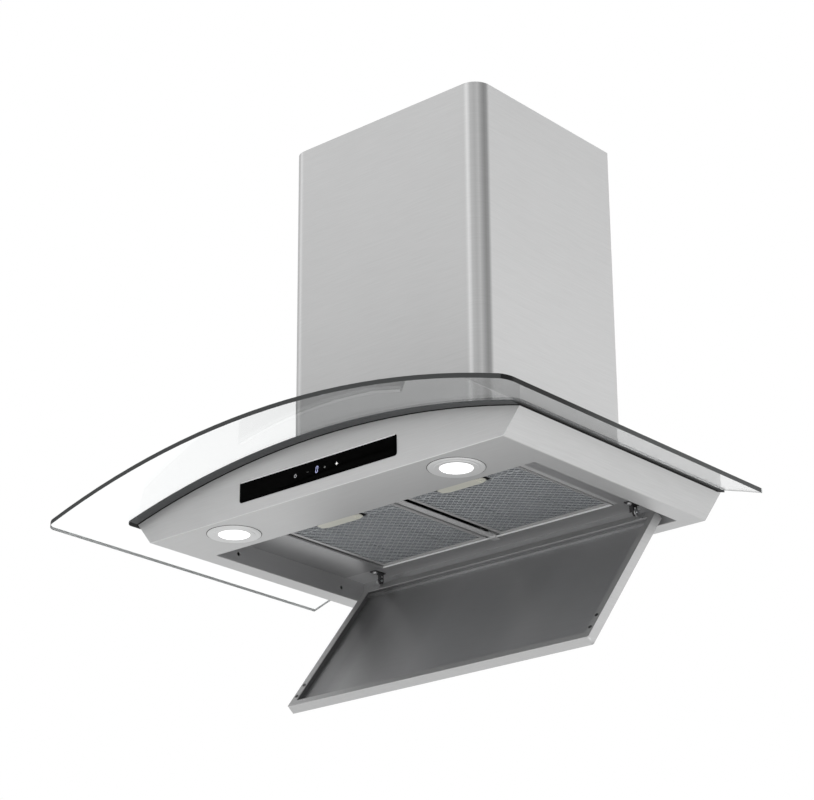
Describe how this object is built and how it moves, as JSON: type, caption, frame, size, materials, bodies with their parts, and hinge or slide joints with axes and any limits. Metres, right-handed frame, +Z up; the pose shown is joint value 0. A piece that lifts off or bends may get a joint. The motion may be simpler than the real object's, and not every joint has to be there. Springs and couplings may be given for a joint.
{
  "type": "range hood",
  "caption": "Wall-mounted range hood with a bent glass canopy, box chimney, touch panel, round lamps, grease filters and a hinged perimeter panel hanging open.",
  "frame": {"origin": "on the wall face, midway along the rear bottom edge of the steel body", "axes": "+X to the right of a person facing the wall, +Y into the wall, +Z up"},
  "size_m": [0.75, 0.5, 0.7449],
  "materials": {
    "brushed_steel": "fine horizontal brushing, satin",
    "inner_steel": "satin steel in the recess, straps and inner pan",
    "galvanised_steel": "galvanised sheet, dull",
    "canopy_glass": "clear toughened glass with polished edges",
    "seal_rubber": "matt dark grey gasket",
    "touch_glass": "gloss black back-printed glass",
    "trim_metal": "satin turned trim",
    "lamp_lens": "frosted white diffuser",
    "cast_aluminium": "cast, plain",
    "filter_mesh": "expanded mesh layers",
    "pull_plastic": "off-white moulded",
    "dark_plastic": "dark grey moulded",
    "white_plastic": "pale grey moulded",
    "plated_steel": "zinc-plated pins, screws and springs",
    "circuit_board": "green board",
    "ferrite": "dark sintered magnet"
  },
  "bodies": {
    "hood": {"canopy_shell": "brushed_steel", "recess_liner": "inner_steel", "filter_divider": "inner_steel", "filter_hangers": "inner_steel", "glass_canopy": "canopy_glass", "glass_seal": "seal_rubber", "glass_clamps": "galvanised_steel", "glass_clamp_screws": "plated_steel", "chimney_cover": "brushed_steel", "wall_plate": "galvanised_steel", "blower_box": "galvanised_steel", "blower_flange": "galvanised_steel", "scroll_housing": "dark_plastic", "motor": "cast_aluminium", "motor_bracket": "galvanised_steel", "outlet_collar": "dark_plastic", "outlet_flange": "galvanised_steel", "damper_pins": "plated_steel", "terminal_box": "white_plastic", "cable_gland": "dark_plastic", "run_capacitor": "white_plastic", "lamp_driver": "white_plastic", "control_glass": "touch_glass", "control_housing": "dark_plastic", "control_board": "circuit_board", "lamp_bezel_left": "trim_metal", "lamp_bezel_right": "trim_metal", "lamp_lens_left": "lamp_lens", "lamp_lens_right": "lamp_lens", "lamp_can_left": "cast_aluminium", "lamp_can_right": "cast_aluminium", "hinge_strap_left": "inner_steel", "hinge_strap_right": "inner_steel", "strap_screws": "plated_steel", "catch_magnets": "ferrite"},
    "fan": {"fan_wheel": "dark_plastic", "motor_shaft": "plated_steel", "hub_nut": "plated_steel"},
    "flap_front": {"damper_flap_front": "dark_plastic"},
    "flap_rear": {"damper_flap_rear": "dark_plastic"},
    "upper_chimney": {"chimney_extension": "brushed_steel", "chimney_bracket": "galvanised_steel"},
    "panel": {"panel_tray": "brushed_steel", "panel_liner": "inner_steel", "panel_screws": "plated_steel", "hinge_ear_left": "inner_steel", "hinge_ear_right": "inner_steel", "hinge_pin_left": "plated_steel", "hinge_pin_right": "plated_steel"},
    "filter_left": {"filter_frame_left": "inner_steel", "filter_mesh_left": "filter_mesh", "handle_pocket_left": "dark_plastic", "latch_spring_left": "plated_steel"},
    "filter_right": {"filter_frame_right": "inner_steel", "filter_mesh_right": "filter_mesh", "handle_pocket_right": "dark_plastic", "latch_spring_right": "plated_steel"},
    "latch_left": {"latch_handle_left": "pull_plastic"},
    "latch_right": {"latch_handle_right": "pull_plastic"}
  },
  "joints": [
    {"name": "panel_hinge", "type": "hinge", "parent": "hood", "child": "panel", "pos_m": [0, -0.0435, 0.017], "axis": [1, 0, 0], "range_deg": [-52, 0]},
    {"name": "filter_left_tilt", "type": "hinge", "parent": "hood", "child": "filter_left", "pos_m": [-0.1012, -0.068, 0.0345], "axis": [1, 0, 0], "range_deg": [0, 40]},
    {"name": "latch_left_pull", "type": "slide", "parent": "filter_left", "child": "latch_left", "axis": [0, 1, 0], "range_m": [0, 0.004], "stiffness_N_per_m": 100, "deforming": ["latch_spring_left"]},
    {"name": "filter_right_tilt", "type": "hinge", "parent": "hood", "child": "filter_right", "pos_m": [0.1012, -0.068, 0.0345], "axis": [1, 0, 0], "range_deg": [0, 40]},
    {"name": "latch_right_pull", "type": "slide", "parent": "filter_right", "child": "latch_right", "axis": [0, 1, 0], "range_m": [0, 0.004], "stiffness_N_per_m": 100, "deforming": ["latch_spring_right"]},
    {"name": "fan_spin", "type": "hinge", "parent": "hood", "child": "fan", "pos_m": [0, -0.12, 0.18], "axis": [1, 0, 0], "continuous": true},
    {"name": "flap_front_swing", "type": "hinge", "parent": "hood", "child": "flap_front", "pos_m": [0, -0.154, 0.327], "axis": [-1, 0, 0], "range_deg": [0, 75]},
    {"name": "flap_rear_swing", "type": "hinge", "parent": "hood", "child": "flap_rear", "pos_m": [0, -0.146, 0.327], "axis": [1, 0, 0], "range_deg": [0, 75]},
    {"name": "upper_chimney_slide", "type": "slide", "parent": "hood", "child": "upper_chimney", "axis": [0, 0, 1], "range_m": [0, 0.36]}
  ]
}
